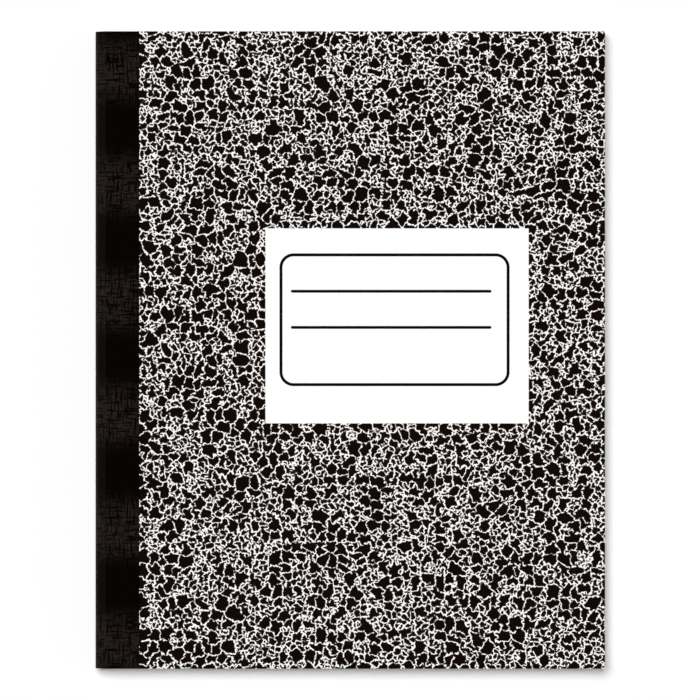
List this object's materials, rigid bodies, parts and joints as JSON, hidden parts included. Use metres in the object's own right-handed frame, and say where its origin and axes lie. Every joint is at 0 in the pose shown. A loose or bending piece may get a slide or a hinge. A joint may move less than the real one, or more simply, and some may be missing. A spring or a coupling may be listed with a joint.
{
  "type": "composition notebook",
  "caption": "Sewn composition notebook with square-cut stiff marbled covers, a cloth tape spine, wrapped endpaper and a folded, thread-sewn page block; both covers hinge open.",
  "frame": {"origin": "under the middle of the closed book, on the surface it lies on", "axes": "+X from the spine to the fore edge, +Y from the tail to the head, +Z from the back cover to the front cover"},
  "size_m": [0.2032, 0.254, 0.0103],
  "materials": {
    "page_paper": "uncoated writing paper, cut edges",
    "sewing_thread": "twisted cotton",
    "endpaper": "uncoated, heavier than the pages",
    "cover_board": "solid grey board, raw cut edge",
    "marbled_paper": "black on white marble print, light varnish",
    "cloth_tape": "black coated bookcloth, embossed"
  },
  "bodies": {
    "pages": {"page_block": "page_paper", "needle_thread": "sewing_thread", "bobbin_thread": "sewing_thread", "endpaper": "endpaper", "spine_tape": "cloth_tape"},
    "front_cover": {"front_cover_board": "cover_board", "front_cover_paper": "marbled_paper"},
    "back_cover": {"back_cover_board": "cover_board", "back_cover_paper": "marbled_paper"}
  },
  "joints": [
    {"name": "front_hinge", "type": "hinge", "parent": "pages", "child": "front_cover", "pos_m": [-0.09725, 0, 0.01005], "axis": [0, -1, 0], "range_deg": [0, 180], "deforming": ["spine_tape", "endpaper"]},
    {"name": "back_hinge", "type": "hinge", "parent": "pages", "child": "back_cover", "pos_m": [-0.09725, 0, 0.00025], "axis": [0, 1, 0], "range_deg": [0, 180], "deforming": ["spine_tape", "endpaper"]}
  ]
}
